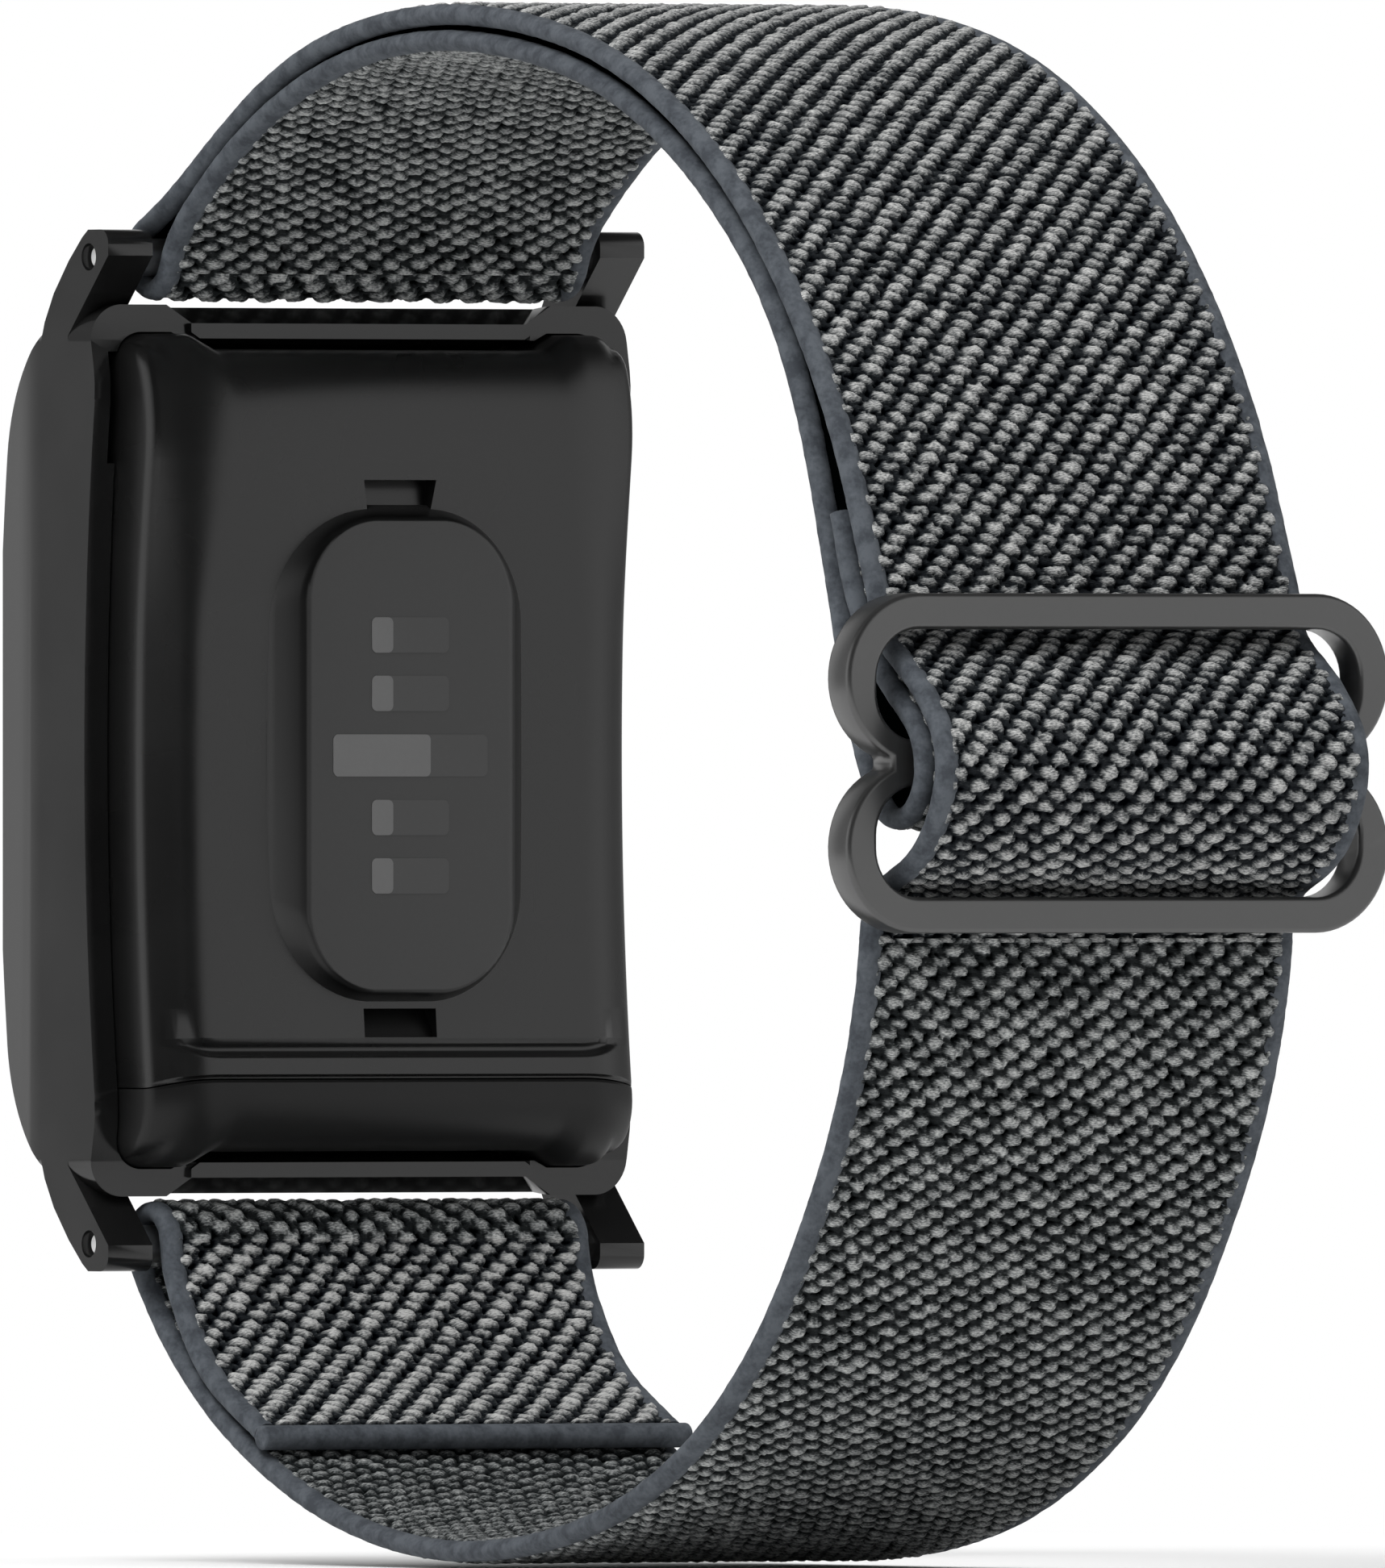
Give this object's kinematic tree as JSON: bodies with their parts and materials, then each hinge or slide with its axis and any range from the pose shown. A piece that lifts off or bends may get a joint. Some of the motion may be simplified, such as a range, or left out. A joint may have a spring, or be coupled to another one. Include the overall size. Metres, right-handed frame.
{
  "type": "elastic nylon watch strap",
  "caption": "Elastic woven watch strap looped round two spring bars, with a two-slot slider and a lugged case that carries a slim sensor module.",
  "frame": {"origin": "centre of the wrist opening, midway between the band's edges", "axes": "+X along the spring bars, +Y from the case towards the slider, +Z from the lower lugs towards the upper lugs"},
  "size_m": [0.0254, 0.0677, 0.0623],
  "materials": {
    "case_black": "satin black coating over a light alloy",
    "slider_grey": "satin dark grey coating over die-cast metal",
    "bar_steel": "turned stainless steel",
    "spring_steel": "drawn spring wire",
    "module_plastic": "fine matte black moulding",
    "gasket_rubber": "soft black rubber",
    "sensor_lens": "dark tinted lens",
    "led_window": "grey diffusing window",
    "detector_window": "dark detector window",
    "board_green": "solder-masked board",
    "cell_foil": "foil pouch",
    "motor_steel": "plated can",
    "woven_nylon": "elastic nylon twill in dark grey with pale flecks",
    "edge_yarn": "felted slate-grey edge yarn"
  },
  "bodies": {
    "case": {"case_shell": "case_black", "upper_bar_tube": "bar_steel", "upper_bar_spring": "spring_steel", "lower_bar_tube": "bar_steel", "lower_bar_spring": "spring_steel"},
    "module": {"module_front_cover": "module_plastic", "module_back_cover": "module_plastic", "module_end_cap": "module_plastic", "cover_gasket": "gasket_rubber", "sensor_dome": "sensor_lens", "led_windows": "led_window", "detector_windows": "detector_window", "sensor_board": "board_green", "main_board": "board_green", "battery_cell": "cell_foil", "vibration_motor": "motor_steel"},
    "upper_loop": {"upper_loop_band": "woven_nylon"},
    "lower_loop": {"lower_loop_band": "woven_nylon"},
    "strap": {"outer_layer": "woven_nylon", "inner_layer": "woven_nylon", "lower_layer": "woven_nylon", "lower_tail": "woven_nylon", "tail_binding": "edge_yarn"},
    "slider": {"slider_frame": "slider_grey", "slider_wrap": "woven_nylon", "slider_loop": "woven_nylon"},
    "upper_tip_near": {"upper_tip_near": "bar_steel"},
    "upper_tip_far": {"upper_tip_far": "bar_steel"},
    "lower_tip_near": {"lower_tip_near": "bar_steel"},
    "lower_tip_far": {"lower_tip_far": "bar_steel"}
  },
  "joints": [
    {"name": "module_lift", "type": "slide", "parent": "case", "child": "module", "axis": [0, 1, 0], "range_m": [0, 0.012]},
    {"name": "band_stretch", "type": "slide", "parent": "case", "child": "strap", "axis": [0, 1, 0], "range_m": [0, 0.012], "stiffness_N_per_m": 800, "deforming": ["outer_layer", "inner_layer", "lower_layer", "lower_tail", "tail_binding"]},
    {"name": "upper_loop_turn", "type": "hinge", "parent": "case", "child": "upper_loop", "pos_m": [0, -0.0255, 0.0212], "axis": [1, 0, 0], "range_deg": [-8, 0]},
    {"name": "lower_loop_turn", "type": "hinge", "parent": "case", "child": "lower_loop", "pos_m": [0, -0.0255, -0.0185], "axis": [1, 0, 0], "range_deg": [0, 8]},
    {"name": "slider_travel", "type": "hinge", "parent": "strap", "child": "slider", "pos_m": [0, 0.0017, -0.0036], "axis": [1, 0, 0], "range_deg": [-8, 14], "deforming": ["outer_layer", "inner_layer", "lower_layer"]},
    {"name": "upper_tip_near_press", "type": "slide", "parent": "case", "child": "upper_tip_near", "axis": [-1, 0, 0], "range_m": [0, 0.0017], "stiffness_N_per_m": 600, "deforming": ["upper_bar_spring"]},
    {"name": "upper_tip_far_press", "type": "slide", "parent": "case", "child": "upper_tip_far", "axis": [1, 0, 0], "range_m": [0, 0.0017], "stiffness_N_per_m": 600, "deforming": ["upper_bar_spring"]},
    {"name": "lower_tip_near_press", "type": "slide", "parent": "case", "child": "lower_tip_near", "axis": [-1, 0, 0], "range_m": [0, 0.0017], "stiffness_N_per_m": 600, "deforming": ["lower_bar_spring"]},
    {"name": "lower_tip_far_press", "type": "slide", "parent": "case", "child": "lower_tip_far", "axis": [1, 0, 0], "range_m": [0, 0.0017], "stiffness_N_per_m": 600, "deforming": ["lower_bar_spring"]}
  ],
  "couplings": [
    {"joint": "upper_loop_turn", "follows": "band_stretch", "rad_per_m": -11.6},
    {"joint": "lower_loop_turn", "follows": "band_stretch", "rad_per_m": 11.6}
  ]
}
